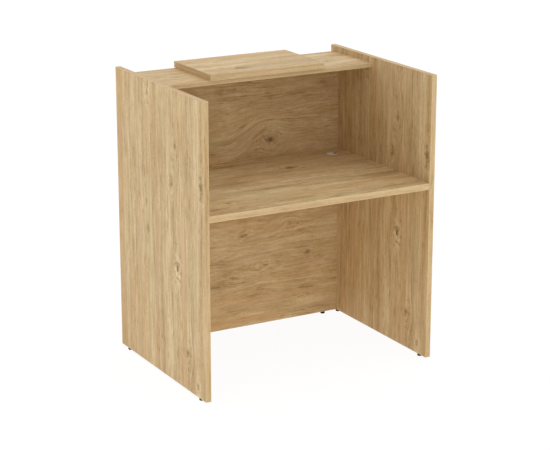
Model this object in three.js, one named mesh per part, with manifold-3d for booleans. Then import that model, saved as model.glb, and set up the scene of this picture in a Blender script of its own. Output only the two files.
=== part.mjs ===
// A free-standing reception desk of oak-decor board, in millimetres, +Z up.
// The clerk sits at the -Y side and the visitor stands at the +Y side.
// The origin is on the floor, in the middle of the desk's footprint.

import * as THREE from "three";
import { mergeVertices } from "three/addons/utils/BufferGeometryUtils.js";
import Module from "manifold-3d";

const wasm = await Module();
wasm.setup();

// Overall sizes
const deskWidth = 1000;
const deskDepth = 744;
const sidePanelHeight = 1140;
const worktopHeight = 725;
const floorGap = 10;

// Board thicknesses
const sideBoard = 22;
const backBoard = 22;
const worktopBoard = 25;
const counterBoard = 18;
const riserBoard = 25;
const edgeBand = 2;

// How the boards sit between the side panels
const worktopSetback = 2;
const backPanelSetback = 40;
const counterDepth = 294;
const counterSetback = 20;
const riserWidth = 504;
const riserOverhang = 10;

// Clearance between a fitting and its hole, how far a cutting shape runs past a face,
// and how near two corners of a mesh are when they are one
const fitGap = 0.3;
const overrun = 5;
const weldDistance = 0.0003;

// Levelling foot and its socket
const footRadius = 9.5;
const footChamfer = 1.5;
const footStemRadius = 3;
const footStemLength = 20;
const footStemChamfer = 0.8;
const socketRadius = 5;
const socketLength = 24;
const socketFlangeRadius = 8;
const socketFlange = 1;
const sideFootInset = 57;
const backFootInset = 62;

// Cam fitting: a bolt screwed into one board and a cam let into the underside of the other
const camRadius = 7.5;
const camPastBolt = 5;
const camSetback = 34;
const camCrossLength = 9;
const camCrossWidth = 1.8;
const camCrossDepth = 2.5;
const boltThreadRadius = 2.5;
const boltThreadLength = 11;
const boltShankRadius = 3.5;
const boltNeckRadius = 2;
const boltNeckLength = 5;
const boltHeadRadius = 3.2;
const boltHeadLength = 4;
const worktopCamInset = 60;
const counterCamInset = 60;
const backCamInset = 220;

// Wooden dowel between the back panel and a side panel
const dowelRadius = 4;
const dowelLength = 30;
const dowelChamfer = 1;
const dowelInSidePanel = 12;
const dowelEndInset = 150;

// Wood screw from the counter up into the riser
const screwHeadRadius = 4;
const screwHeadLand = 0.5;
const screwHeadCone = 2.5;
const screwHeadSink = 0.5;
const screwShankRadius = 2;
const screwLength = 38;
const screwTip = 4;
const screwInset = 72;

// Cable grommet
const grommetFromSidePanel = 85;
const grommetFromBackPanel = 92;
const grommetHoleRadius = 25;
const grommetFlangeRadius = 30;
const grommetFlange = 2.4;
const grommetFlangeChamfer = 1;
const grommetSleeveWall = 1.5;
const grommetSleeveLength = 19;
const grommetLedgeWidth = 2;
const grommetLedge = 1.6;
const capThickness = 2.2;
const capSkirtWall = 1.3;
const capSkirtLength = 5;
const cableSlotRadius = 7;
const cableSlotFromCentre = 13.5;
const shutterStemRadius = 3;
const shutterButtonRadius = 5;
const shutterButton = 1;
const shutterPlate = 1.2;
const shutterAngle = (2 * Math.PI) / 3;

// How finely round pieces are faceted
const fittingSides = 12;
const footSides = 16;
const grommetSides = 32;
const shutterSides = 12;

// Planes that several pieces share
const rightOuter = deskWidth / 2;
const leftOuter = -rightOuter;
const leftInner = leftOuter + sideBoard;
const rightInner = rightOuter - sideBoard;
const rearEdge = deskDepth / 2;
const frontEdge = -rearEdge;
const panelBottom = floorGap;
const panelTop = panelBottom + sidePanelHeight;
const backOuter = rearEdge - backPanelSetback;
const backInner = backOuter - backBoard;
const backMiddle = backOuter - backBoard / 2;
const worktopFront = frontEdge + worktopSetback;
const worktopUnderside = worktopHeight - worktopBoard;
const counterRear = rearEdge - counterSetback;
const counterFront = counterRear - counterDepth;
const riserUnderside = panelTop - riserBoard;
const counterUnderside = riserUnderside - counterBoard;

const materials = {
  board: new THREE.MeshStandardMaterial({ color: 0xcbb084, roughness: 0.55, metalness: 0 }),
  band: new THREE.MeshStandardMaterial({ color: 0xc9aa78, roughness: 0.5, metalness: 0 }),
  foot: new THREE.MeshStandardMaterial({ color: 0x1c1b1a, roughness: 0.6, metalness: 0 }),
  socket: new THREE.MeshStandardMaterial({ color: 0x8f9296, roughness: 0.4, metalness: 0.9 }),
  cam: new THREE.MeshStandardMaterial({ color: 0xa4a6a8, roughness: 0.45, metalness: 0.85 }),
  bolt: new THREE.MeshStandardMaterial({ color: 0x9a9da1, roughness: 0.35, metalness: 0.95 }),
  dowel: new THREE.MeshStandardMaterial({ color: 0xd8bd92, roughness: 0.8, metalness: 0 }),
  grommet: new THREE.MeshStandardMaterial({ color: 0xa9a9a6, roughness: 0.4, metalness: 0 }),
};

const desk = new THREE.Group();

function addPiece(name, geometry, material) {
  const piece = new THREE.Mesh(geometry, material);
  piece.name = name;
  desk.add(piece);
}

// A block between two corners, whose faces lie exactly on the planes given
function block(low, high) {
  const geometry = new THREE.BoxGeometry(1, 1, 1);
  const corners = geometry.attributes.position;
  for (let i = 0; i < corners.count; i += 1) {
    corners.setXYZ(
      i,
      corners.getX(i) < 0 ? low.x : high.x,
      corners.getY(i) < 0 ? low.y : high.y,
      corners.getZ(i) < 0 ? low.z : high.z,
    );
  }
  return geometry;
}

// A shape turned about +Z from a profile of radius and height pairs
function turned(profile, sides) {
  const outline = profile.map(([radius, height]) => new THREE.Vector2(radius, height));
  const geometry = new THREE.LatheGeometry(outline, sides);
  const yToZ = new THREE.Matrix4().makeBasis(
    new THREE.Vector3(1, 0, 0),
    new THREE.Vector3(0, 0, 1),
    new THREE.Vector3(0, -1, 0),
  );
  return geometry.applyMatrix4(yToZ);
}

// A straight cylinder along +Z: a pin, or the bore for one
function bore(radius, start, end, sides) {
  return turned([[0, start], [radius, start], [radius, end], [0, end]], sides);
}

// Turns a shape's +Z onto a row axis and moves its origin to a place
function along(direction, place, geometry) {
  const upright = direction.z !== 0;
  const first = upright ? new THREE.Vector3(1, 0, 0) : new THREE.Vector3(0, 0, 1);
  const second = new THREE.Vector3().crossVectors(direction, first);
  const turn = new THREE.Matrix4().makeBasis(first, second, direction);
  return geometry.applyMatrix4(turn.setPosition(place));
}

// A boolean solid from a geometry, and back
function solidOf(geometry) {
  const bare = new THREE.BufferGeometry();
  bare.setAttribute("position", geometry.getAttribute("position"));
  bare.setIndex(geometry.index);
  const merged = mergeVertices(bare, weldDistance);
  return new wasm.Manifold(
    new wasm.Mesh({
      numProp: 3,
      vertProperties: merged.attributes.position.array,
      triVerts: new Uint32Array(merged.index.array),
    }),
  );
}

function geometryOf(solid) {
  const mesh = solid.getMesh();
  const geometry = new THREE.BufferGeometry();
  geometry.setAttribute("position", new THREE.BufferAttribute(mesh.vertProperties, 3));
  geometry.setIndex(new THREE.BufferAttribute(mesh.triVerts, 1));
  geometry.computeVertexNormals();
  return geometry;
}

function cut(geometry, tools) {
  if (tools.length === 0) {
    return geometry;
  }
  const solid = tools.reduce((rest, tool) => rest.subtract(solidOf(tool)), solidOf(geometry));
  return geometryOf(solid);
}

// The narrow faces of a board that an edge band can cover
const boardFaces = {
  left: { end: "min", otherEnd: "max", axis: "x", inward: 1 },
  right: { end: "max", otherEnd: "min", axis: "x", inward: -1 },
  front: { end: "min", otherEnd: "max", axis: "y", inward: 1 },
  rear: { end: "max", otherEnd: "min", axis: "y", inward: -1 },
  top: { end: "max", otherEnd: "min", axis: "z", inward: -1 },
};

// A board inside its whole outline: each band in turn takes its strip off the core that is left,
// so the bands named first run the full length and the later ones stop against them
function addBoard(name, low, high, bandedFaces, cuts) {
  const core = new THREE.Box3(low, high);
  for (const faceName of bandedFaces) {
    const { end, otherEnd, axis, inward } = boardFaces[faceName];
    const strip = core.clone();
    core[end][axis] += inward * edgeBand;
    strip[otherEnd][axis] = core[end][axis];
    addPiece(`${name}_${faceName}_band`, block(strip.min, strip.max), materials.band);
  }
  addPiece(name, cut(block(core.min, core.max), cuts), materials.board);
}

const towardRight = new THREE.Vector3(1, 0, 0);
const towardLeft = new THREE.Vector3(-1, 0, 0);
const towardClerk = new THREE.Vector3(0, -1, 0);
const upward = new THREE.Vector3(0, 0, 1);

// Holes wait here for the board that they are cut in
const holes = {
  left_side_panel: [],
  right_side_panel: [],
  back_panel: [],
  worktop: [],
  counter_shelf: [],
  riser_shelf: [],
};

const sidePanels = [
  { hand: "left", board: "left_side_panel", innerFace: leftInner, intoDesk: 1, inward: towardRight },
  { hand: "right", board: "right_side_panel", innerFace: rightInner, intoDesk: -1, inward: towardLeft },
];

// Levelling feet: each screws up into a flanged socket in the board above it
function footProfile() {
  const padTop = floorGap - socketFlange - fitGap;
  const stemTop = floorGap + footStemLength;
  return [
    [0, 0],
    [footRadius - footChamfer, 0],
    [footRadius, footChamfer],
    [footRadius, padTop - footChamfer],
    [footRadius - footChamfer, padTop],
    [footStemRadius, padTop],
    [footStemRadius, stemTop - footStemChamfer],
    [footStemRadius - footStemChamfer, stemTop],
    [0, stemTop],
  ];
}

function socketProfile() {
  const stemBore = footStemRadius + fitGap;
  return [
    [stemBore, -socketFlange],
    [socketFlangeRadius, -socketFlange],
    [socketFlangeRadius, 0],
    [socketRadius, 0],
    [socketRadius, socketLength],
    [stemBore, socketLength],
    [stemBore, -socketFlange],
  ];
}

function addFoot(label, board, x, y) {
  const onFloor = new THREE.Vector3(x, y, 0);
  const underBoard = new THREE.Vector3(x, y, panelBottom);
  const foot = turned(footProfile(), footSides);
  const socket = turned(socketProfile(), footSides);
  addPiece(`foot_${label}`, along(upward, onFloor, foot), materials.foot);
  addPiece(`foot_socket_${label}`, along(upward, underBoard, socket), materials.socket);
  const socketHole = bore(socketRadius + fitGap, -overrun, socketLength + fitGap, footSides);
  holes[board].push(along(upward, underBoard, socketHole));
}

for (const { hand, board, innerFace, intoDesk } of sidePanels) {
  const panelMiddle = innerFace - (intoDesk * sideBoard) / 2;
  addFoot(`${hand}_front`, board, panelMiddle, frontEdge + sideFootInset);
  addFoot(`${hand}_rear`, board, panelMiddle, rearEdge - sideFootInset);
  addFoot(`back_${hand}`, "back_panel", innerFace + intoDesk * backFootInset, backMiddle);
}

// Cam bolt, from its thread's end to its head: the shank stops just short of the cam
const boltShankEnd = camSetback - camRadius - fitGap;
const boltHeadEnd = boltShankEnd + boltNeckLength + boltHeadLength;

function camBolt() {
  const neckEnd = boltShankEnd + boltNeckLength;
  const profile = [
    [0, -boltThreadLength],
    [boltThreadRadius, -boltThreadLength],
    [boltThreadRadius, 0],
    [boltShankRadius, 0],
    [boltShankRadius, boltShankEnd],
    [boltNeckRadius, boltShankEnd],
    [boltNeckRadius, neckEnd],
    [boltHeadRadius, neckEnd],
    [boltHeadRadius, boltHeadEnd],
    [0, boltHeadEnd],
  ];
  return turned(profile, fittingSides);
}

// The crossed recess for a screwdriver in the cam's face
function camCross(centre) {
  const bars = [
    new THREE.Vector3(camCrossLength, camCrossWidth, camCrossDepth),
    new THREE.Vector3(camCrossWidth, camCrossLength, camCrossDepth),
  ];
  return bars.map((bar) => {
    const low = new THREE.Vector3(centre.x - bar.x / 2, centre.y - bar.y / 2, centre.z - overrun);
    const high = new THREE.Vector3(centre.x + bar.x / 2, centre.y + bar.y / 2, centre.z + bar.z);
    return block(low, high);
  });
}

// A cam fitting pulls the end of one board, from below, against the face of another.
// start is where the bolt leaves the face of the board that it is screwed into.
function addCamFitting(label, start, inward, faceBoard, camBoard, halfBoard) {
  const centre = start.clone().addScaledVector(inward, camSetback);
  centre.z -= halfBoard;
  const camTop = halfBoard + camPastBolt;
  const body = along(upward, centre, bore(camRadius, 0, camTop, fittingSides));
  const mouthStart = boltShankEnd - overrun;
  const mouth = bore(boltHeadRadius + fitGap, mouthStart, boltHeadEnd + fitGap, fittingSides);
  addPiece(`cam_${label}`, cut(body, [along(inward, start, mouth), ...camCross(centre)]), materials.cam);
  addPiece(`cam_bolt_${label}`, along(inward, start, camBolt()), materials.bolt);
  const threadHole = bore(boltThreadRadius + fitGap, -boltThreadLength - fitGap, overrun, fittingSides);
  const shankHole = bore(boltShankRadius + fitGap, -overrun, camSetback, fittingSides);
  const camHole = bore(camRadius + fitGap, -overrun, camTop + fitGap, fittingSides);
  holes[faceBoard].push(along(inward, start, threadHole));
  holes[camBoard].push(along(inward, start, shankHole), along(upward, centre, camHole));
}

const shelves = [
  {
    name: "worktop",
    under: worktopUnderside,
    half: worktopBoard / 2,
    front: worktopFront + worktopCamInset,
    rear: backInner - worktopCamInset,
  },
  {
    name: "counter_shelf",
    under: counterUnderside,
    half: counterBoard / 2,
    front: counterFront + counterCamInset,
    rear: counterRear - counterCamInset,
  },
];
for (const { hand, board, innerFace, inward } of sidePanels) {
  for (const { name, under, half, front, rear } of shelves) {
    const frontStart = new THREE.Vector3(innerFace, front, under + half);
    const rearStart = new THREE.Vector3(innerFace, rear, under + half);
    addCamFitting(`${name}_${hand}_front`, frontStart, inward, board, name, half);
    addCamFitting(`${name}_${hand}_rear`, rearStart, inward, board, name, half);
  }
}

for (const { hand, innerFace, intoDesk } of sidePanels) {
  const half = worktopBoard / 2;
  const start = new THREE.Vector3(innerFace + intoDesk * backCamInset, backInner, worktopUnderside + half);
  addCamFitting(`worktop_back_${hand}`, start, towardClerk, "back_panel", "worktop", half);
}

// Dowels that locate the back panel between the side panels
function dowelProfile(gap) {
  const radius = dowelRadius + gap;
  const inSide = dowelInSidePanel + gap;
  const inBack = dowelLength - dowelInSidePanel + gap;
  return [
    [0, -inSide],
    [radius - dowelChamfer, -inSide],
    [radius, dowelChamfer - inSide],
    [radius, inBack - dowelChamfer],
    [radius - dowelChamfer, inBack],
    [0, inBack],
  ];
}

const dowelHeights = { low: panelBottom + dowelEndInset, high: counterUnderside - dowelEndInset };
for (const { hand, board, innerFace, inward } of sidePanels) {
  for (const [level, height] of Object.entries(dowelHeights)) {
    const start = new THREE.Vector3(innerFace, backMiddle, height);
    const dowel = along(inward, start, turned(dowelProfile(0), fittingSides));
    const hole = along(inward, start, turned(dowelProfile(fitGap), fittingSides));
    addPiece(`dowel_${hand}_${level}`, dowel, materials.dowel);
    holes[board].push(hole);
    holes.back_panel.push(hole);
  }
}

// Countersunk screws through the counter into the riser
function screwProfile(gap, headFace) {
  const tip = screwLength + gap;
  return [
    [0, headFace],
    [screwHeadRadius + gap, headFace],
    [screwHeadRadius + gap, screwHeadLand],
    [screwShankRadius + gap, screwHeadLand + screwHeadCone],
    [screwShankRadius + gap, tip - screwTip],
    [0, tip],
  ];
}

const screwRow = (counterFront + counterRear) / 2;
for (const { hand, intoDesk } of sidePanels) {
  const x = -intoDesk * (riserWidth / 2 - screwInset);
  const head = new THREE.Vector3(x, screwRow, counterUnderside + screwHeadSink);
  const screw = along(upward, head, turned(screwProfile(0, 0), fittingSides));
  const hole = along(upward, head, turned(screwProfile(fitGap, -overrun), fittingSides));
  addPiece(`riser_screw_${hand}`, screw, materials.bolt);
  holes.counter_shelf.push(hole);
  holes.riser_shelf.push(hole);
}

// Cable grommet: heights are taken from the worktop's upper face
const sleeveOuter = grommetHoleRadius - fitGap;
const sleeveInner = sleeveOuter - grommetSleeveWall;
const ledgeInner = sleeveInner - grommetLedgeWidth;
const capTop = grommetFlange;
const capUnderside = capTop - capThickness;
const ledgeTop = capUnderside - fitGap;
const capRadius = sleeveInner - fitGap;
const skirtOuter = ledgeInner - fitGap;
const skirtInner = skirtOuter - capSkirtWall;
const buttonFloor = capTop - shutterButton - fitGap;
const plateTop = capUnderside - fitGap;
const grommetPlace = new THREE.Vector3(
  rightInner - grommetFromSidePanel,
  backInner - grommetFromBackPanel,
  worktopHeight,
);

function linerProfile() {
  return [
    [sleeveInner, capTop],
    [sleeveInner, ledgeTop],
    [ledgeInner, ledgeTop],
    [ledgeInner, ledgeTop - grommetLedge],
    [sleeveInner, ledgeTop - grommetLedge],
    [sleeveInner, -grommetSleeveLength],
    [sleeveOuter, -grommetSleeveLength],
    [sleeveOuter, 0],
    [grommetFlangeRadius, 0],
    [grommetFlangeRadius, capTop - grommetFlangeChamfer],
    [grommetFlangeRadius - grommetFlangeChamfer, capTop],
    [sleeveInner, capTop],
  ];
}

function capProfile() {
  const stemHole = shutterStemRadius + fitGap;
  const buttonHole = shutterButtonRadius + fitGap;
  return [
    [stemHole, capUnderside],
    [skirtInner, capUnderside],
    [skirtInner, capUnderside - capSkirtLength],
    [skirtOuter, capUnderside - capSkirtLength],
    [skirtOuter, capUnderside],
    [capRadius, capUnderside],
    [capRadius, capTop],
    [buttonHole, capTop],
    [buttonHole, buttonFloor],
    [stemHole, buttonFloor],
    [stemHole, capUnderside],
  ];
}

// The slot for the cables has a round inner end and runs out through the cap's rim
function cableSlot() {
  const low = capUnderside - capSkirtLength - overrun;
  const high = capTop + overrun;
  const place = new THREE.Vector3(cableSlotFromCentre, 0, 0);
  const roundEnd = along(upward, place, bore(cableSlotRadius, low, high, footSides));
  const run = block(
    new THREE.Vector3(cableSlotFromCentre, -cableSlotRadius, low),
    new THREE.Vector3(capRadius + overrun, cableSlotRadius, high),
  );
  return [roundEnd, run];
}

// The shutter is a sector plate under the cap, on a stem with a flush button on top
function shutterSolid() {
  const plateRadius = skirtInner - fitGap;
  const sector = new THREE.Shape();
  const firstAngle = Math.PI - shutterAngle / 2;
  const lastAngle = Math.PI + shutterAngle / 2;
  sector.moveTo(0, 0);
  sector.lineTo(plateRadius * Math.cos(firstAngle), plateRadius * Math.sin(firstAngle));
  sector.absarc(0, 0, plateRadius, firstAngle, lastAngle, false);
  sector.closePath();
  const plate = new THREE.ExtrudeGeometry(sector, {
    depth: shutterPlate,
    bevelEnabled: false,
    curveSegments: shutterSides,
  });
  plate.translate(0, 0, plateTop - shutterPlate);
  const stem = turned(
    [
      [0, plateTop - shutterPlate],
      [shutterButtonRadius, plateTop - shutterPlate],
      [shutterButtonRadius, plateTop],
      [shutterStemRadius, plateTop],
      [shutterStemRadius, capTop - shutterButton],
      [shutterButtonRadius, capTop - shutterButton],
      [shutterButtonRadius, capTop],
      [0, capTop],
    ],
    footSides,
  );
  return geometryOf(solidOf(plate).add(solidOf(stem)));
}

const grommetHole = bore(grommetHoleRadius, -worktopBoard - overrun, overrun, grommetSides);
const liner = turned(linerProfile(), grommetSides);
const cap = cut(turned(capProfile(), grommetSides), cableSlot());
holes.worktop.push(along(upward, grommetPlace, grommetHole));
addPiece("grommet_liner", along(upward, grommetPlace, liner), materials.grommet);
addPiece("grommet_cap", along(upward, grommetPlace, cap), materials.grommet);
addPiece("grommet_shutter", along(upward, grommetPlace, shutterSolid()), materials.grommet);

// The boards come last, because the fittings say where their holes are
addBoard(
  "left_side_panel",
  new THREE.Vector3(leftOuter, frontEdge, panelBottom),
  new THREE.Vector3(leftInner, rearEdge, panelTop),
  ["front", "rear", "top"],
  holes.left_side_panel,
);
addBoard(
  "right_side_panel",
  new THREE.Vector3(rightInner, frontEdge, panelBottom),
  new THREE.Vector3(rightOuter, rearEdge, panelTop),
  ["front", "rear", "top"],
  holes.right_side_panel,
);
addBoard(
  "back_panel",
  new THREE.Vector3(leftInner, backInner, panelBottom),
  new THREE.Vector3(rightInner, backOuter, counterUnderside),
  [],
  holes.back_panel,
);
addBoard(
  "worktop",
  new THREE.Vector3(leftInner, worktopFront, worktopUnderside),
  new THREE.Vector3(rightInner, backInner, worktopHeight),
  ["front"],
  holes.worktop,
);
addBoard(
  "counter_shelf",
  new THREE.Vector3(leftInner, counterFront, counterUnderside),
  new THREE.Vector3(rightInner, counterRear, riserUnderside),
  ["front", "rear"],
  holes.counter_shelf,
);
addBoard(
  "riser_shelf",
  new THREE.Vector3(-riserWidth / 2, counterFront - riserOverhang, riserUnderside),
  new THREE.Vector3(riserWidth / 2, counterRear + riserOverhang, panelTop),
  ["front", "rear", "left", "right"],
  holes.riser_shelf,
);

export default desk;
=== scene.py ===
import math

import bmesh
import bpy
from mathutils import Matrix, Vector


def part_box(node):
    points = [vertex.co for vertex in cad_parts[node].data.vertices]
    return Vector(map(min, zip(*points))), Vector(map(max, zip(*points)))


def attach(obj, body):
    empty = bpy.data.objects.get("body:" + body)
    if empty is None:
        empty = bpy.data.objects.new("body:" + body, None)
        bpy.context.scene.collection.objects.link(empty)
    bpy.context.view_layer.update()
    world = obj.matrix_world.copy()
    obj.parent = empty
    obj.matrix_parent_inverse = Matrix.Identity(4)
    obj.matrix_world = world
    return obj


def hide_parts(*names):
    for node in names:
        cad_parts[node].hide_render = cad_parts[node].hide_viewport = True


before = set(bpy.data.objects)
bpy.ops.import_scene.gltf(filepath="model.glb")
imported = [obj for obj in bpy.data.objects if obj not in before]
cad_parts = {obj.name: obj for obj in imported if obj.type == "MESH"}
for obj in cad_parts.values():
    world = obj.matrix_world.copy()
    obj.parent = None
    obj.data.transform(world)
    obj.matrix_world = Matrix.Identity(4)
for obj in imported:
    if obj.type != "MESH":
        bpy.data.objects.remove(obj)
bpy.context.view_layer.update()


# ---- Viewpoint
# The clerk's side of the desk, seen from the front left and above the counter through a long lens.
# The camera is tipped down rather than shifted, so that every other view keeps the desk in frame.
picture_width = 550
focal_length_in_pixels = 1786
eye_place = (-3.308, -5.886, 2.496)
turned_right = 0.5123
tipped_down = 0.2830

lens = bpy.data.cameras.new("viewpoint")
lens.lens = focal_length_in_pixels / picture_width * lens.sensor_width
viewpoint = bpy.data.objects.new("viewpoint", lens)
viewpoint.location = eye_place
viewpoint.rotation_euler = (math.pi / 2 - tipped_down, 0, -turned_right)
bpy.context.scene.collection.objects.link(viewpoint)
bpy.context.scene.camera = viewpoint
bpy.context.scene.view_settings.view_transform = "Standard"


# ---- Side panels
# Two 22 mm chipboard panels, 744 by 1140 mm, that carry everything else. Both faces have the same
# printed oak decor with upright grain; the holes for feet, bolts and dowels are drilled in the core.
rounded_edge = 0.0004
rounding_steps = 2
seam_chamfer = 0.0001
# Boards are cut this far in from each face so that the paler edge line, partly wear and partly a painted
# highlight, stays near the edges.
edge_mark_margin = 0.004
nearly_along = 0.9
nearly_level = 0.5
# How far from an edge the paler edge line reaches, in roundings: partly wear, partly a painted highlight.
wear_and_highlight_reach = 1.1
board_crease = 22
hole_clearance = 0.0003
drill_sides = 40
drill_run_in = 0.005
socket_radius = 0.005
socket_length = 0.024
bolt_thread_radius = 0.0025
bolt_thread_length = 0.011
dowel_radius = 0.004
dowel_in_side_panel = 0.012
dowel_in_back_panel = 0.018

directions = {
    "left": Vector((-1, 0, 0)),
    "right": Vector((1, 0, 0)),
    "front": Vector((0, -1, 0)),
    "rear": Vector((0, 1, 0)),
    "down": Vector((0, 0, -1)),
    "up": Vector((0, 0, 1)),
}


class Wire:
    """What comes out of a node. Arithmetic with it adds Math nodes to the same tree."""

    def __init__(self, socket):
        self.socket = socket
        self.tree = socket.id_data

    def __add__(self, other):
        return calc("ADD", self, other)

    def __sub__(self, other):
        return calc("SUBTRACT", self, other)

    def __rsub__(self, other):
        return calc("SUBTRACT", other, self)

    def __mul__(self, other):
        return calc("MULTIPLY", self, other)

    def __truediv__(self, other):
        return calc("DIVIDE", self, other)


def feed(socket, value):
    """Links a wire to a node's input, or gives the input a plain value."""
    if isinstance(value, Wire):
        value.tree.links.new(value.socket, socket)
    else:
        socket.default_value = value


def give(node, **values):
    """Hands a node its values, each to the property or the input of that name."""
    for name, value in values.items():
        if name in node.bl_rna.properties:
            setattr(node, name, value)
        else:
            feed(node.inputs[name.replace("_", " ")], value)
    return node


def put(tree, kind, **values):
    """Adds a node with these values."""
    return give(tree.nodes.new(kind), **values)


def wire(tree, kind, output=0, **values):
    """Adds a node with these values, and gives one of its outputs."""
    return Wire(put(tree, kind, **values).outputs[output])


def calc(operation, *values, kind="ShaderNodeMath"):
    """The result of one Math node, in the tree that its wires are in."""
    tree = next(value.tree for value in values if isinstance(value, Wire))
    made = put(tree, kind, operation=operation)
    for socket, value in zip(made.inputs, values):
        feed(socket, value)
    return Wire(made.outputs[0])


def vector_calc(operation, *values):
    """The same with whole points."""
    return calc(operation, *values, kind="ShaderNodeVectorMath")


def split(point):
    """The three coordinates of a point."""
    return [Wire(part) for part in put(point.tree, "ShaderNodeSeparateXYZ", Vector=point).outputs]


def ease(value, low, high, at_low=0.0, at_high=1.0):
    """A soft step between two values."""
    soft = put(value.tree, "ShaderNodeMapRange", interpolation_type="SMOOTHSTEP", Value=value)
    give(soft, From_Min=low, From_Max=high, To_Min=at_low, To_Max=at_high)
    return Wire(soft.outputs[0])


def lay_over(share, under, over):
    """One colour laid over another, by a share from 0 to 1, through a Mix node's colour sockets."""
    made = put(share.tree, "ShaderNodeMix", data_type="RGBA")
    for place, value in ((0, share), (6, under), (7, over)):
        feed(made.inputs[place], value)
    return Wire(made.outputs[2])


def noise(place, scale, detail, output=0):
    """Even noise; scale is its ripples in a metre."""
    return wire(place.tree, "ShaderNodeTexNoise", output, Vector=place, Scale=scale, Detail=detail)


def ripples(point, along, across, start, detail=2.0, roughness=0.5):
    """Noise drawn out along the grain; along and across are its ripples in a metre."""
    drawn = vector_calc("MULTIPLY_ADD", point, (along, across, 0), (start, start * 1.7, 0))
    made = put(point.tree, "ShaderNodeTexNoise", noise_dimensions="2D", Vector=drawn, Scale=1.0)
    return Wire(give(made, Detail=detail, Roughness=roughness).outputs[0])


def bump(height, strength, distance):
    """Relief too fine to model."""
    return wire(height.tree, "ShaderNodeBump", Height=height, Strength=strength, Distance=distance)


def new_finish(name):
    """A new material, its shader node, and the place on the object that its pattern goes by."""
    made = bpy.data.materials.new(name)
    made.use_nodes = True
    tree = made.node_tree
    return made, tree.nodes["Principled BSDF"], wire(tree, "ShaderNodeTexCoord", "Object")


def ink(red, green, blue):
    """A colour as it is read off a colour card, 0 to 255, turned to light values."""
    parts = [part / 255 for part in (red, green, blue)]
    return (*(p / 12.92 if p <= 0.04045 else ((p + 0.055) / 1.055) ** 2.4 for p in parts), 1)


def group_of(name, sockets_in, sockets_out, family="Shader"):
    """An empty node group, its sockets named by kind: the tree, the wires that come in and the
    sockets that the results go to."""
    tree = bpy.data.node_groups.new(name, family + "NodeTree")
    for way, sockets in (("INPUT", sockets_in), ("OUTPUT", sockets_out)):
        for kind, labels in sockets.items():
            for label in labels:
                tree.interface.new_socket(label, in_out=way, socket_type="NodeSocket" + kind)
    given = {socket.name: Wire(socket) for socket in put(tree, "NodeGroupInput").outputs}
    return tree, given, put(tree, "NodeGroupOutput").inputs


def knot_group():
    """Bends the grain round one knot and sweeps it up to the knot on one side, and marks its ragged
    eye and the flame round it."""
    tree, given, result = group_of(
        "knot",
        {"Vector": ["Point", "Centre"], "Float": ["Reach", "Stretch", "Eye", "Sweep"]},
        {"Float": ["Shift", "Core", "Halo"]},
    )
    along, across, _ = split(vector_calc("SUBTRACT", given["Point"], given["Centre"]))
    ragged = ripples(given["Point"], 42.0, 80.0, 5.7, 3.0, 0.65) - 0.5
    drawn = along / given["Stretch"]
    near = calc("SQRT", drawn * drawn + across * across)
    share = near / given["Reach"]
    pull = calc("EXPONENT", share * share * -2.2)
    parted = across * pull * -0.92
    before = ease(along / given["Reach"], -2.2, -0.3, 1.0, 0.0)
    aside = across / given["Reach"]
    fading = calc("EXPONENT", aside * aside * -0.6)
    feed(result["Shift"], parted + before * fading * given["Sweep"])
    feed(result["Halo"], ease(ragged * 1.8 + share, 0.10, 1.20, 1.0, 0.0))
    eye = (ragged * 0.040 + near) / given["Eye"]
    feed(result["Core"], ease(eye, 0.0, 2.2, 1.0, 0.0))
    return tree


def stripe_group():
    """Marks one soft-edged stripe that runs along the grain between two places."""
    tree, given, result = group_of(
        "stripe",
        {"Vector": ["Point"], "Float": ["Across", "Half Width", "First", "Last"]},
        {"Float": ["Mark"]},
    )
    along, across, _ = split(given["Point"])
    wandering = across + (ripples(given["Point"], 4.0, 20.0, 2.9) - 0.5) * 0.012
    off = calc("ABSOLUTE", wandering - given["Across"])
    edge = ease(off / given["Half Width"], 0.6, 1.1, 1.0, 0.0)
    begun = ease(along - given["First"], -0.06, 0.06)
    ended = ease(along - given["Last"], -0.06, 0.06, 1.0, 0.0)
    feed(result["Mark"], edge * (begun * ended))
    return tree


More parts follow.
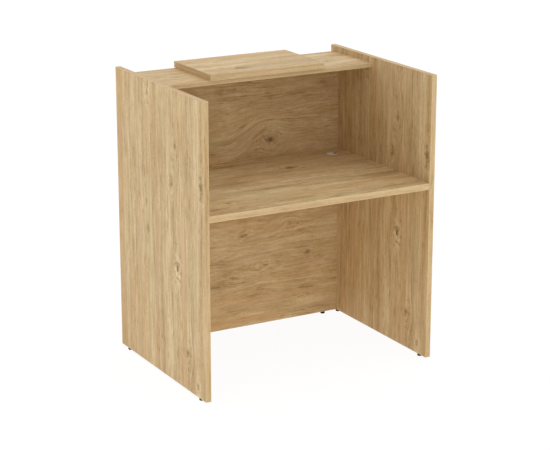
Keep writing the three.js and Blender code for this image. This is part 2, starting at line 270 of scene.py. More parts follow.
def decor_group():
    """The printed oak itself, at a point already bent round the knots: soft bands the length of the
    board, broken streaks, year lines, fibres and pores, thin pale lines, and flecks in the flames."""
    tree, given, result = group_of(
        "oak decor",
        {"Vector": ["Point"], "Float": ["Core", "Halo", "Figure", "Worn", "Pale", "Warm", "Contrast"]},
        {"Color": ["Colour"], "Float": ["Roughness", "Height"]},
    )
    point, figure, halo = given["Point"], given["Figure"], given["Halo"]
    sway = ripples(point, 1.6, 4.5, 3.1) - 0.5
    quiver = ripples(point, 16.0, 22.0, 7.9) - 0.5
    swirl = ripples(point, 30.0, 52.0, 8.3, 3.0, 0.6)
    bend = (sway * 0.056 + quiver * 0.004) * figure + (swirl - 0.5) * 0.015 * halo
    grain = vector_calc("ADD", point, wire(tree, "ShaderNodeCombineXYZ", Y=bend))

    straight = 1.25 - figure
    bands = ripples(grain, 1.0, 17.0, 11.0, 2.0, 0.6)
    pencil = ripples(grain, 2.6, 70.0, 13.0, 2.0, 0.6)
    wide_strip = ease(ripples(grain, 0.5, 11.0, 17.0, 1.0), 0.475, 0.515)
    slim_strip = ease(ripples(grain, 1.3, 30.0, 19.0, 1.0), 0.475, 0.525)
    streaks = ripples(grain, 4.0, 40.0, 23.0, 2.0, 0.6)
    threads_of_grain = ripples(grain, 11.0, 95.0, 29.0, 2.0, 0.6)
    fibres = ripples(grain, 22.0, 260.0, 37.0, 2.0, 0.65)
    hairs = ripples(grain, 40.0, 1300.0, 41.0, 2.0, 0.6)
    speckle = ripples(point, 70.0, 150.0, 43.0, 2.0, 0.6)
    clouds = ripples(point, 8.0, 18.0, 67.0, 3.0, 0.6)
    layers = (
        (bands, straight * 0.46),
        (pencil, straight * 0.40),
        (wide_strip, straight * 0.085),
        (slim_strip, straight * 0.055),
        (streaks, 0.42),
        (threads_of_grain, figure * 0.20 + 0.34),
        (fibres, figure * 0.14 + 0.44),
        (hairs, 0.35),
        (speckle, 0.22),
        (clouds, figure * 0.48 + 0.08),
    )
    mix = 0.5
    for layer, weight in layers:
        mix = (layer - 0.5) * weight + mix

    across = split(grain)[1]
    phase = across * 92.0 + ripples(grain, 1.8, 8.0, 71.0) * 7.0
    year = calc("COSINE", phase * (2 * math.pi)) * 0.5 + 0.5
    shown_here = ease(ripples(point, 3.0, 6.0, 83.0), 0.40, 0.62)
    strong = halo * 0.14 + figure * 0.15
    mix = mix - year * year * shown_here * strong
    thread = calc("ABSOLUTE", ripples(grain, 0.4, 22.0, 47.0, 1.0) - 0.5)
    pale_stretch = ease(ripples(grain, 1.4, 9.0, 59.0, 1.0), 0.42, 0.58)
    mix = mix + ease(thread, 0.0, 0.05, 1.0, 0.0) * pale_stretch * 0.16
    dashes = ease(ripples(grain, 17.0, 150.0, 61.0, 2.0, 0.55), 0.60, 0.72)
    dashed_here = ease(ripples(point, 5.0, 9.0, 73.0, 1.0), 0.42, 0.62)
    mix = mix + dashes * dashed_here * -0.26
    fleck = ease(ripples(grain, 40.0, 125.0, 31.0, 3.0, 0.6), 0.36, 0.47, 1.0, 0.0)
    curls = ease(swirl, 0.34, 0.52, 0.12, 0.0)
    mix = mix + halo * 0.13 + fleck * halo * -0.50 + curls * halo
    mix = mix + given["Core"] * -0.34 + given["Pale"] * 0.30
    mix = (mix - 0.5) * given["Contrast"] + 0.5

    tones = put(tree, "ShaderNodeValToRGB", Fac=mix)
    ramp = tones.color_ramp
    stops = (
        (0.05, ink(154, 122, 81)),
        (0.28, ink(188, 157, 110)),
        (0.46, ink(204, 175, 129)),
        (0.60, ink(213, 186, 141)),
        (0.82, ink(227, 205, 161)),
    )
    while len(ramp.elements) < len(stops):
        ramp.elements.new(0.5)
    for element, (place, colour) in zip(ramp.elements, stops):
        element.position = place
        element.color = colour

    warmth = ease(ripples(grain, 0.7, 13.0, 97.0, 3.0, 0.6), 0.46, 0.74, 0.0, 0.36)
    open_pores = ease(ripples(grain, 60.0, 2300.0, 53.0, 1.0), 0.60, 0.70)
    tints = (
        (calc("MAXIMUM", warmth, given["Warm"] * 0.6), ink(212, 168, 113)),
        (ease(ripples(grain, 2.6, 14.0, 103.0), 0.50, 0.74, 0.0, 0.30), ink(203, 170, 136)),
        (ease(ripples(grain, 2.2, 12.0, 109.0), 0.54, 0.76, 0.0, 0.34), ink(196, 177, 132)),
        (open_pores * 0.30, ink(146, 112, 72)),
        (calc("POWER", given["Core"], 2.2) * 0.85, ink(106, 78, 46)),
        # Paler along the rounded edges: partly wear, partly a painted highlight.
        (given["Worn"] * 0.35, ink(226, 203, 160)),
    )
    colour = Wire(tones.outputs[0])
    for share, tint in tints:
        colour = lay_over(share, colour, tint)
    feed(result["Colour"], colour)

    dull = open_pores * 0.16 + 0.52 + (streaks - 0.5) * 0.20
    feed(result["Roughness"], given["Worn"] * -0.08 + dull)
    feed(result["Height"], threads_of_grain * 0.5 - open_pores + given["Core"] * -0.4)
    return tree


knot_nodes = knot_group()
stripe_nodes = stripe_group()
decor_nodes = decor_group()

grain_turns = {
    "upright across the depth": (0, math.pi / 2, 0),
    "upright across the width": (math.pi / 2, 0, math.pi / 2),
    "sideways on a level face": (0, 0, 0),
    "sideways on an upright face": (-math.pi / 2, 0, 0),
    "front to rear on a level face": (0, 0, -math.pi / 2),
    "front to rear on an upright face": (math.pi / 2, math.pi / 2, 0),
}


def oak(name, grain, start, knots=(), figure=1.0, stripes=(), contrast=1.0):
    """Printed oak. grain says which way it runs and start picks the part of the print. Each knot is its
    place along and across the grain, its reach, its stretch, its eye's radius, how dark it is and how
    far the grain sweeps up to it. Each stripe is its place across, its half width, where it begins and
    ends, and how pale and warm it is."""
    made, shader, place = new_finish(name)
    tree = made.node_tree
    turned = wire(tree, "ShaderNodeMapping", Vector=place, Rotation=grain_turns[grain])
    shift, core, halo, pale, warm = 0.0, 0.0, 0.0, 0.0, 0.0
    for along, across, reach, stretch, eye, darkness, sweep in knots:
        knot = put(tree, "ShaderNodeGroup", node_tree=knot_nodes, Point=turned)
        give(knot, Centre=(along, across, 0), Reach=reach, Stretch=stretch, Eye=eye, Sweep=sweep)
        shift = Wire(knot.outputs["Shift"]) + shift
        core = calc("MAXIMUM", Wire(knot.outputs["Core"]) * darkness, core)
        halo = calc("MAXIMUM", Wire(knot.outputs["Halo"]) * (0.25 + 0.75 * darkness), halo)
    for across, half_width, first, last, paleness, warmth in stripes:
        stripe = put(tree, "ShaderNodeGroup", node_tree=stripe_nodes, Point=turned)
        give(stripe, Across=across, Half_Width=half_width, First=first, Last=last)
        pale = Wire(stripe.outputs[0]) * paleness + pale
        warm = Wire(stripe.outputs[0]) * warmth + warm
    bent = vector_calc("ADD", turned, wire(tree, "ShaderNodeCombineXYZ", X=start, Y=shift))
    # The board's paler edge line: partly wear, partly a painted highlight.
    wear_and_highlight = wire(tree, "ShaderNodeAttribute", "Fac", attribute_name="wear_and_highlight")
    decor = put(tree, "ShaderNodeGroup", node_tree=decor_nodes, Point=bent, Worn=wear_and_highlight, Figure=figure)
    give(decor, Core=core, Halo=halo, Pale=pale, Warm=warm, Contrast=contrast)
    colour, roughness, height = [Wire(part) for part in decor.outputs]
    relief = bump(height, 0.35, 0.00015)
    give(shader, Base_Color=colour, Roughness=roughness, Normal=relief, Specular_IOR_Level=0.2)
    return made


def chipboard():
    """The raw core that shows on unbanded edges and in drilled holes: pressed chips in tan and brown."""
    made, shader, place = new_finish("raw_chipboard")
    tear = 0.003
    torn = vector_calc("MULTIPLY_ADD", noise(place, 600.0, 2.0, "Color"), (tear, tear, tear), place)
    lightness = 0.0
    for scale in (480.0, 1300.0):
        chips = wire(place.tree, "ShaderNodeTexVoronoi", "Color", Vector=torn, Scale=scale)
        lightness = wire(place.tree, "ShaderNodeSeparateColor", Color=chips) * 0.5 + lightness
    dust = noise(place, 1800.0, 3.0)
    colour = lay_over(lightness, ink(166, 132, 90), ink(212, 184, 140))
    colour = lay_over(ease(dust, 0.52, 0.70, 0.0, 0.6), colour, ink(120, 90, 58))
    relief = bump(lightness + dust, 0.6, 0.0003)
    give(shader, Base_Color=colour, Roughness=0.9, Normal=relief, Specular_IOR_Level=0.2)
    return made


raw_core = chipboard()


def show(mesh, name):
    """Puts a mesh in the scene as a piece of its own."""
    piece = bpy.data.objects.new(name, mesh)
    bpy.context.scene.collection.objects.link(piece)
    return piece


def flattened(piece, name):
    """The piece with its modifiers worked in, as a plain mesh; the old one goes."""
    bpy.context.view_layer.update()
    ready = piece.evaluated_get(bpy.context.evaluated_depsgraph_get())
    mesh = bpy.data.meshes.new_from_object(ready)
    old = piece.data
    bpy.data.objects.remove(piece)
    bpy.data.meshes.remove(old)
    mesh.name = name
    return mesh


def crease(mesh, degrees=board_crease):
    """Smooth shading with crisp edges where faces meet at more than this angle."""
    mesh.shade_smooth()
    mesh.set_sharp_from_angle(angle=math.radians(degrees))


def add_pin(form, start, direction, radius, length, sides=drill_sides):
    """Adds a closed cylinder that begins at start and runs along direction."""
    turn = direction.to_track_quat("Z", "Y").to_matrix().to_4x4()
    place = Matrix.Translation(start + direction * length / 2) @ turn
    bmesh.ops.create_cone(
        form, cap_ends=True, segments=sides, radius1=radius, radius2=radius, depth=length, matrix=place
    )


def as_mesh(form, name):
    """A mesh of a form that is then done with."""
    mesh = bpy.data.meshes.new(name)
    form.to_mesh(mesh)
    form.free()
    return mesh


def drill_mesh(name, bores):
    """The body that all of a board's bores together take away."""
    form = bmesh.new()
    for start, direction, radius, depth in bores:
        length = depth + drill_run_in + hole_clearance
        add_pin(form, start - direction * drill_run_in, direction, radius + hole_clearance, length)
    for face in form.faces:
        face.material_index = 1
    return as_mesh(form, name)


def looks(normal, ways):
    """Whether a face looks along one of these directions."""
    return any(normal.dot(way) > nearly_along for way in ways)


def cut_board(name, node, printed, decor, rounding, bores=(), raw=()):
    """A board or band in the place of its node, with the decor on its printed faces. Edges between open
    faces, printed or raw, are rounded over and marked for a paler line that is partly wear and partly a
    painted highlight, the others keep a hair-thin chamfer where they meet a neighbour, and the bores
    are drilled."""
    low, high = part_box(node)
    size = high - low
    form = bmesh.new()
    bmesh.ops.create_cube(form, size=1)
    bmesh.ops.scale(form, vec=size, verts=form.verts)
    bmesh.ops.translate(form, vec=(low + high) / 2, verts=form.verts)
    for axis in range(3):
        if size[axis] > 3 * edge_mark_margin:
            for place in (low[axis] + edge_mark_margin, high[axis] - edge_mark_margin):
                normal = Vector((0, 0, 0))
                normal[axis] = 1
                everything = form.verts[:] + form.edges[:] + form.faces[:]
                bmesh.ops.bisect_plane(form, geom=everything, plane_co=normal * place, plane_no=normal)
    decor_ways = [directions[word] for word in printed]
    open_ways = decor_ways + [directions[word] for word in raw]
    form.normal_update()
    weights = form.edges.layers.float.new("bevel_weight_edge")
    for edge in form.edges:
        first, second = [face.normal for face in edge.link_faces]
        if first.dot(second) < nearly_level:
            open_edge = looks(first, open_ways) and looks(second, open_ways)
            edge[weights] = 1.0 if open_edge else seam_chamfer / rounding
    for face in form.faces:
        face.material_index = 0 if looks(face.normal, decor_ways) else 1
    mesh = as_mesh(form, name)
    for material in (decor, raw_core):
        mesh.materials.append(material)
    blank = show(mesh, name)
    softened = blank.modifiers.new("rounding", "BEVEL")
    softened.limit_method = "WEIGHT"
    softened.width = rounding
    softened.segments = rounding_steps
    if bores:
        tool = show(drill_mesh(name + "_bores", bores), name + "_bores")
        for material in (decor, raw_core):
            tool.data.materials.append(material)
        drilled = blank.modifiers.new("bores", "BOOLEAN")
        drilled.operation = "DIFFERENCE"
        drilled.solver = "EXACT"
        drilled.use_self = True
        drilled.object = tool
    finished = flattened(blank, name)
    if bores:
        used = tool.data
        bpy.data.objects.remove(tool)
        bpy.data.meshes.remove(used)
    # Vertices on edges between open faces get the paler edge line: partly wear, partly a painted highlight.
    wear_and_highlight = finished.attributes.new("wear_and_highlight", "FLOAT", "POINT")
    near = rounding * wear_and_highlight_reach
    for vertex, mark in zip(finished.vertices, wear_and_highlight.data):
        touching = 0
        for way in open_ways:
            face_place = max(low.dot(way), high.dot(way))
            touching += face_place - vertex.co.dot(way) < near
        mark.value = 1.0 if touching > 1 else 0.0
    crease(finished)
    return finished


def add_board(name, node, printed, decor, bores=(), raw=(), rounding=rounded_edge):
    """One board of the desk, with the holes for its fittings."""
    board = show(cut_board(name, node, printed, decor, rounding, bores, raw), name)
    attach(board, "desk")
    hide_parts(node)


def middle_of(node):
    """The middle of a node's box."""
    low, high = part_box(node)
    return (low + high) / 2


def bore_for(node, corner, way, radius, depth):
    """A bore in line with a fitting, from the face that goes through a board's corner."""
    start = middle_of(node)
    for axis, step in enumerate(directions[way]):
        if step:
            start[axis] = corner[axis]
    return start, directions[way], radius, depth


foot_labels = ("left_front", "left_rear", "right_front", "right_rear", "back_left", "back_right")
shelf_cams = [
    f"{shelf}_{hand}_{end}"
    for shelf in ("worktop", "counter_shelf")
    for hand in ("left", "right")
    for end in ("front", "rear")
]
back_cams = ["worktop_back_left", "worktop_back_right"]


def socket_bore(label):
    """The blind hole that a foot's socket is pressed into."""
    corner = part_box("left_side_panel")[0]
    return bore_for(f"foot_socket_{label}", corner, "up", socket_radius, socket_length)


def bolt_bore(label, corner, way):
    """The hole that a cam bolt is screwed into."""
    return bore_for(f"cam_bolt_{label}", corner, way, bolt_thread_radius, bolt_thread_length)


panel_knots = [
    (1.108, 0.090, 0.050, 2.0, 0.0060, 0.75, 0.010),
    (0.945, -0.140, 0.040, 1.8, 0.0050, 0.30, 0.0),
    (0.875, -0.125, 0.035, 1.8, 0.0040, 0.25, 0.0),
    (0.790, -0.105, 0.046, 1.6, 0.0060, 0.60, -0.010),
    (0.828, -0.350, 0.044, 2.8, 0.0110, 0.85, 0.0),
    (0.565, 0.104, 0.022, 1.6, 0.0110, 0.65, 0.0),
    (0.470, -0.150, 0.060, 1.9, 0.0080, 1.00, 0.012),
    (0.155, -0.228, 0.060, 1.4, 0.0100, 0.40, -0.012),
    (0.045, -0.310, 0.040, 1.8, 0.0060, 0.45, 0.0),
]
panel_stripes = [
    (0.073, 0.007, 0.46, 1.25, 0.8, 0.0),
    (0.158, 0.014, 0.35, 1.02, 0.55, 0.0),
    (0.150, 0.026, 0.23, 0.29, -0.40, 0.5),
    (0.345, 0.030, -0.10, 1.30, -0.2, 0.6),
    (-0.183, 0.005, 0.56, 0.90, 0.8, 0.0),
    (-0.225, 0.030, 0.14, 0.18, -0.35, 0.3),
    (-0.317, 0.026, 0.50, 1.25, 0.35, 0.0),
    (-0.357, 0.014, -0.10, 1.30, -0.15, 0.3),
]
panel_decor = oak(
    "oak_print_on_side_panels", "upright across the depth", 2.0, panel_knots, 0.35, panel_stripes, 1.12
)
for hand in ("left", "right"):
    node = f"{hand}_side_panel"
    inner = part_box(node)[1 if hand == "left" else 0]
    bores = [socket_bore(label) for label in foot_labels if label.startswith(hand)]
    bores += [bolt_bore(label, inner, hand) for label in shelf_cams if f"_{hand}_" in label]
    for level in ("low", "high"):
        dowel = f"dowel_{hand}_{level}"
        bores.append(bore_for(dowel, inner, hand, dowel_radius, dowel_in_side_panel))
    add_board(f"{hand}_panel_board", node, ("left", "right"), panel_decor, bores, raw=("down",))


# ---- Edge bands of the side panels
# Strips of 2 mm oak-printed plastic glued to the front, rear and top edges of each panel and milled
# flush. The front and rear strips run the full height, and the top strip lies between them.
band_radius = 0.0010
darker_batch = ((0.0, 2.0, -2.0, 3.0, -0.28, 0.15),)
upright_band = oak(
    "oak_print_on_upright_bands", "upright across the width", 31.0, (), 0.1, darker_batch, 0.75
)
top_band = oak(
    "oak_print_on_top_bands", "front to rear on a level face", 37.0, (), 0.1, darker_batch, 0.6
)
band_faces = {
    "front": (("front", "left", "right", "down", "up"), upright_band),
    "rear": (("rear", "left", "right", "down", "up"), upright_band),
    "top": (("up", "left", "right"), top_band),
}


def add_band(name, node, printed, decor):
    """One strip, printed on every face that shows."""
    add_board(name, node, printed, decor, rounding=band_radius)


for hand in ("left", "right"):
    for edge, (printed, decor) in band_faces.items():
        add_band(f"{hand}_panel_{edge}_strip", f"{hand}_side_panel_{edge}_band", printed, decor)


# ---- Back panel
# A 22 mm chipboard panel on the visitors' side, doweled between the side panels, with the grain
# across. It has no edge bands: the counter lies on its top edge and its lower edge is left raw.
back_knots = [
    (0.154, 0.794, 0.090, 1.1, 0.0150, 1.00, 0.055),
    (0.028, 0.402, 0.040, 1.5, 0.0140, 0.60, -0.015),
    (0.333, 0.289, 0.022, 1.8, 0.0050, 0.60, 0.0),
    (0.307, 0.097, 0.030, 1.8, 0.0040, 0.50, 0.0),
    (0.095, 0.260, 0.040, 2.2, 0.0030, 0.20, 0.0),
    (-0.020, 0.225, 0.035, 2.2, 0.0040, 0.25, 0.0),
    (0.250, 0.425, 0.055, 1.5, 0.0030, 0.20, 0.035),
    (-0.300, 0.560, 0.050, 1.8, 0.0080, 0.60, 0.015),
    (-0.210, 0.930, 0.045, 1.8, 0.0070, 0.50, 0.0),
]
back_stripes = [
    (0.470, 0.022, -0.40, 0.26, -0.50, 0.0),
    (0.410, 0.026, 0.12, 0.32, -0.30, 0.3),
    (0.080, 0.022, 0.24, 0.44, 0.45, 0.2),
    (0.036, 0.020, -0.40, 0.20, 0.10, 0.9),
    (0.065, 0.012, -0.34, -0.22, -0.45, 0.2),
    (0.885, 0.008, 0.22, 0.34, -0.25, 0.3),
]
back_decor = oak(
    "oak_print_on_back_panel", "sideways on an upright face", 5.0, back_knots, 1.0, back_stripes
)


back_low, back_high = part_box("back_panel")
back_bores = [socket_bore(label) for label in foot_labels if label.startswith("back")]
for hand, inward, corner in (("left", "right", back_low), ("right", "left", back_high)):
    for level in ("low", "high"):
        dowel = f"dowel_{hand}_{level}"
        back_bores.append(bore_for(dowel, corner, inward, dowel_radius, dowel_in_back_panel))
back_bores += [bolt_bore(label, back_low, "rear") for label in back_cams]
add_board("back_board", "back_panel", ("front", "rear"), back_decor, back_bores, raw=("down",))


# ---- Worktop
# A 25 mm board at sitting height, held to the side panels and the back panel by six cam fittings
# let into its underside. Its front edge is banded, and a cable grommet goes through its rear right.
bolt_shank_radius = 0.0035
cam_radius = 0.0075
grommet_hole_radius = 0.025
worktop_knots = [
    (0.128, 0.107, 0.050, 1.7, 0.0135, 1.00, 0.012),
    (0.292, -0.193, 0.035, 1.8, 0.0060, 0.35, 0.0),
    (-0.330, -0.240, 0.040, 1.8, 0.0060, 0.35, 0.0),
    (-0.250, 0.160, 0.045, 1.8, 0.0110, 0.50, -0.010),
]
worktop_stripes = [
    (-0.097, 0.006, -0.30, 0.15, 0.40, 0.0),
    (-0.125, 0.008, -0.10, 0.06, -0.50, 0.5),
    (-0.194, 0.005, -0.38, 0.18, 0.40, 0.0),
    (0.037, 0.013, -0.26, -0.08, -0.40, 0.2),
    (-0.155, 0.020, 0.35, 0.46, -0.45, 0.3),
    (-0.030, 0.036, -0.10, 0.18, 0.15, 0.0),
]
worktop_decor = oak(
    "oak_print_on_worktop", "sideways on a level face", 9.0, worktop_knots, 0.45, worktop_stripes, 1.35
)
sideways_band = oak(
    "oak_print_on_sideways_bands", "sideways on an upright face", 43.0, figure=0.1, contrast=0.6
)


def cam_bores(label, corner, inward):
    """The shank hole from the board's end, and the cam's hole up from the underside."""
    low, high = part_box(f"cam_{label}")
    reach = abs((middle_of(f"cam_{label}") - corner).dot(directions[inward]))
    return [
        bore_for(f"cam_bolt_{label}", corner, inward, bolt_shank_radius, reach),
        bore_for(f"cam_{label}", low, "up", cam_radius, high.z - low.z),
    ]


def shelf_bores(shelf):
    """The bores for a shelf's four cam fittings at its two ends."""
    low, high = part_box(shelf)
    bores = []
    for label in shelf_cams:
        if label.startswith(shelf):
            bores += cam_bores(label, *((low, "right") if "_left_" in label else (high, "left")))
    return bores


worktop_low, worktop_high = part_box("worktop")
worktop_bores = shelf_bores("worktop")
for label in back_cams:
    worktop_bores += cam_bores(label, worktop_high, "front")
through = worktop_high.z - worktop_low.z + drill_run_in
grommet_bore = grommet_hole_radius - hole_clearance
worktop_bores.append(bore_for("grommet_liner", worktop_low, "up", grommet_bore, through))
add_board("worktop_board", "worktop", ("up", "down"), worktop_decor, worktop_bores)
add_band("worktop_front_strip", "worktop_front_band", ("front", "up", "down"), sideways_band)


# ---- Counter shelf
# An 18 mm board across the desk at standing height, resting on the back panel and hung between the
# side panels on four cam fittings. Its front and rear edges are banded.
counter_knots = [
    (-0.330, 0.180, 0.035, 1.8, 0.0120, 0.35, 0.0),
    (0.360, 0.180, 0.040, 2.0, 0.0120, 0.40, 0.0),
]
warmer_batch = (0.0, 2.0, -2.0, 3.0, -0.04, 0.20)
counter_stripes = [
    warmer_batch,
    (0.105, 0.018, -0.50, -0.20, 0.00, 0.6),
    (0.300, 0.020, 0.26, 0.42, 0.20, 0.0),
]
counter_decor = oak(
    "oak_print_on_counter", "sideways on a level face", 15.0, counter_knots, 0.45, counter_stripes, 1.3
)
screw_shank_radius = 0.002
screw_head_radius = 0.004
screw_head_depth = 0.003
counter_low, counter_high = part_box("counter_shelf")
through = counter_high.z - counter_low.z + drill_run_in
counter_bores = shelf_bores("counter_shelf")
for hand in ("left", "right"):
    for radius, depth in ((screw_shank_radius, through), (screw_head_radius, screw_head_depth)):
        counter_bores.append(bore_for(f"riser_screw_{hand}", counter_low, "up", radius, depth))
add_board("counter_board", "counter_shelf", ("up", "down"), counter_decor, counter_bores)
add_band("counter_front_strip", "counter_shelf_front_band", ("front", "up", "down"), sideways_band)
add_band("counter_rear_strip", "counter_shelf_rear_band", ("rear", "up", "down"), sideways_band)


# ---- Riser shelf
# A 25 mm board that lies on the middle of the counter, flush with the tops of the side panels, and is
# screwed from below. All four edges are banded: front and rear full length, the ends between them.
riser_knots = [
    (-0.090, 0.111, 0.045, 1.8, 0.0130, 0.85, 0.008),
    (-0.052, 0.112, 0.030, 1.8, 0.0080, 0.35, 0.0),
]
riser_stripes = [
    warmer_batch,
    (0.322, 0.018, -0.26, 0.30, 0.00, 0.9),
    (0.245, 0.024, -0.20, 0.25, 0.22, 0.0),
    (0.165, 0.016, -0.05, 0.25, -0.10, 0.5),
]
riser_decor = oak(
    "oak_print_on_riser", "sideways on a level face", 21.0, riser_knots, 0.45, riser_stripes, 1.35
)
end_band = oak(
    "oak_print_on_riser_ends", "front to rear on an upright face", 47.0, figure=0.1, contrast=0.6
)
riser_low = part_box("riser_shelf")[0]
riser_bores = []
for hand in ("left", "right"):
    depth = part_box(f"riser_screw_{hand}")[1].z - riser_low.z
    riser_bores.append(bore_for(f"riser_screw_{hand}", riser_low, "up", screw_shank_radius, depth))
add_board("riser_board", "riser_shelf", ("up", "down"), riser_decor, riser_bores)
riser_edges = {
    "front": (("front", "left", "right", "up", "down"), sideways_band),
    "rear": (("rear", "left", "right", "up", "down"), sideways_band),
    "left": (("left", "up", "down"), end_band),
    "right": (("right", "up", "down"), end_band),
}
for edge, (printed, decor) in riser_edges.items():
    add_band(f"riser_{edge}_strip", f"riser_shelf_{edge}_band", printed, decor)


# ---- Levelling feet
# Six black moulded feet with ribbed rims, 19 mm across and 9 mm high, each on an M6 stem that screws
# up into the board above. One node group makes the thread and the ribs of every foot.
foot_radius = 0.0095
foot_height = 0.0087
sole_rounding = 0.0012
sole_hollow = 0.0004
sole_hollow_radius = 0.0062
rim_below_top = 0.0024
shoulder_radius = 0.0080
shoulder_below_top = 0.0014
collar_radius = 0.0048
collar_slope = 0.0004
collar_height = 0.0010
stem_root_radius = 0.0025
stem_length = 0.0300
stem_chamfer = 0.0006
thread_radius = 0.0030
thread_pitch = 0.0010
thread_play = 0.00002
thread_above_collar = 0.0006
thread_ends_short = 0.0014
points_in_a_turn = 20
corners_of_a_rib = 4
foot_crease = 40
thread_sizes = ["Thread Root", "Thread Radius", "Thread Pitch", "Thread Start", "Thread Length"]
rib_count = 24
rib_depth = 0.0005
rib_line = 0.0002


def moulded_black():
    """Black moulded plastic with a fine texture and a dull sheen."""
    made, shader, place = new_finish("black_moulded_plastic")
    scuff = noise(place, 260.0, 3.0)
    colour = lay_over(ease(scuff, 0.5, 0.75, 0.0, 0.6), ink(20, 18, 16), ink(42, 39, 36))
    grit = bump(noise(place, 2400.0, 2.0), 0.4, 0.00008)
    give(shader, Base_Color=colour, Roughness=scuff * 0.2 + 0.55, Normal=grit, Specular_IOR_Level=0.2)
    return made


def turned_mesh(name, profile, sides):
    """A closed shape turned about the upright axis from its profile of radius and height. It is built
    ring by ring, so that its corners come in the same order each run."""
    form = bmesh.new()
    rings = []
    for radius, height in dict.fromkeys(profile):
        angles = [2 * math.pi * side / sides for side in range(sides if radius else 1)]
        rings.append([form.verts.new((radius * math.cos(a), radius * math.sin(a), height)) for a in angles])
    if profile[0] == profile[-1]:
        rings.append(rings[0])
    for lower, upper in zip(rings, rings[1:]):
        for side in range(sides):
            turns = ((lower, side), (lower, side + 1), (upper, side + 1), (upper, side))
            corners = [ring[turn % len(ring)] for ring, turn in turns]
            form.faces.new(list(dict.fromkeys(corners)))
    bmesh.ops.recalc_face_normals(form, faces=form.faces)
    return as_mesh(form, name)


def arc(centre_radius, centre_height, radius, first, last, steps=4):
    """Points on a rounded corner of a profile, between two angles in degrees."""
    angles = [math.radians(first + (last - first) * step / steps) for step in range(steps + 1)]
    return [(centre_radius + radius * math.cos(a), centre_height + radius * math.sin(a)) for a in angles]


def threads(given):
    """A triangular thread wound up the upright axis from Thread Start, as a closed tube."""
    root, height = given["Thread Root"], given["Thread Length"]
    helix = put(root.tree, "GeometryNodeCurveSpiral", Resolution=points_in_a_turn, Height=height)
    give(helix, Start_Radius=root, End_Radius=root, Rotations=height / given["Thread Pitch"])
    outward = given["Thread Radius"] - root
    section = wire(root.tree, "GeometryNodeCurvePrimitiveCircle", Resolution=3, Radius=outward)
    tube = put(root.tree, "GeometryNodeCurveToMesh", Curve=Wire(helix.outputs[0]), Fill_Caps=True)
    give(tube, Profile_Curve=section)
    lift = wire(root.tree, "ShaderNodeCombineXYZ", Z=given["Thread Start"])
    return wire(root.tree, "GeometryNodeTransform", Geometry=Wire(tube.outputs[0]), Translation=lift)


def joined(*parts):
    """Several geometries as one."""
    join = put(parts[0].tree, "GeometryNodeJoinGeometry")
    for part in parts:
        feed(join.inputs[0], part)
    return Wire(join.outputs[0])


def geometry_group(name, sockets_in):
    """An empty Geometry Nodes group that takes a geometry and gives one."""
    geometry = {"Geometry": ["Geometry"]}
    return group_of(name, {**geometry, **sockets_in}, geometry, "Geometry")


def hand_over(result, geometry, material):
    """Ends a Geometry Nodes group: makes every instance real and covers it all with one material."""
    solid = wire(geometry.tree, "GeometryNodeRealizeInstances", Geometry=geometry)
    covered = wire(geometry.tree, "GeometryNodeSetMaterial", Geometry=solid, Material=material)
    feed(result["Geometry"], covered)


rib_sizes = ["Ribs", "Rib Depth", "Rib Radius"]
foot_nodes, given, result = geometry_group(
    "levelling_foot", {"Float": rib_sizes + thread_sizes, "Material": ["Plastic"]}
)
across, deep, _ = split(wire(foot_nodes, "GeometryNodeInputPosition"))
wave = calc("COSINE", calc("ARCTAN2", deep, across) * given["Ribs"])
sink = (wave * 0.5 - 0.5) * given["Rib Depth"]
on_rim = calc("GREATER_THAN", calc("SQRT", across * across + deep * deep), given["Rib Radius"])
share = sink * on_rim / given["Rib Radius"]
offset = wire(foot_nodes, "ShaderNodeCombineXYZ", X=across * share, Y=deep * share)
ribbed = wire(foot_nodes, "GeometryNodeSetPosition", Geometry=given["Geometry"], Offset=offset)
hand_over(result, joined(threads(given), ribbed), given["Plastic"])

foot_profile = [
    (0, sole_hollow),
    (sole_hollow_radius, sole_hollow),
    (sole_hollow_radius + sole_hollow, 0),
]
foot_profile += arc(foot_radius - sole_rounding, sole_rounding, sole_rounding, -90, 0)
foot_profile += [
    (foot_radius, foot_height - rim_below_top),
    (shoulder_radius, foot_height - shoulder_below_top),
    (collar_radius + collar_slope, foot_height - collar_height),
    (collar_radius, foot_height),
    (stem_root_radius, foot_height),
    (stem_root_radius, stem_length - stem_chamfer),
    (stem_root_radius - stem_chamfer, stem_length),
    (0, stem_length),
]
foot_settings = {
    "Ribs": float(rib_count),
    "Rib Depth": rib_depth,
    "Rib Radius": foot_radius - rib_line,
    "Thread Root": stem_root_radius,
    "Thread Radius": thread_radius - thread_play,
    "Thread Pitch": thread_pitch,
    "Thread Start": foot_height + thread_above_collar,
    "Thread Length": stem_length - foot_height - thread_ends_short,
    "Plastic": moulded_black(),
}


def worked(name, mesh, group, settings):
    """The mesh that a Geometry Nodes group makes of this one, with its named settings."""
    holder = show(mesh, name)
    worker = holder.modifiers.new(name, "NODES")
    worker.node_group = group
    keys = {item.name: item.identifier for item in group.interface.items_tree}
    for label, value in settings.items():
        worker[keys[label]] = value
    return flattened(holder, name)


for label in foot_labels:
    name = f"levelling_foot_{label}"
    blank = turned_mesh("foot_blank", foot_profile, rib_count * corners_of_a_rib)
    mesh = worked(name, blank, foot_nodes, foot_settings)
    standing = middle_of(f"foot_{label}")
    standing.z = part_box(f"foot_{label}")[0].z
    mesh.transform(Matrix.Translation(standing))
    crease(mesh, foot_crease)
    foot = show(mesh, name)
    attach(foot, f"foot_{label}")
    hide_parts(f"foot_{label}")


# ---- Foot sockets
# Zinc-plated steel sleeves with a flange, pressed up into the boards' lower edges for the feet. One
# sleeve is turned and repeated at the six places.
socket_bore_radius = 0.0033
socket_flange_radius = 0.008
socket_flange = 0.001
flange_chamfer = 0.0004
sleeve_chamfer = 0.0005
groove_count = 20
groove_start = 0.001
groove_depth = 0.0002
sleeve_sides = 36
fitting_crease = 30


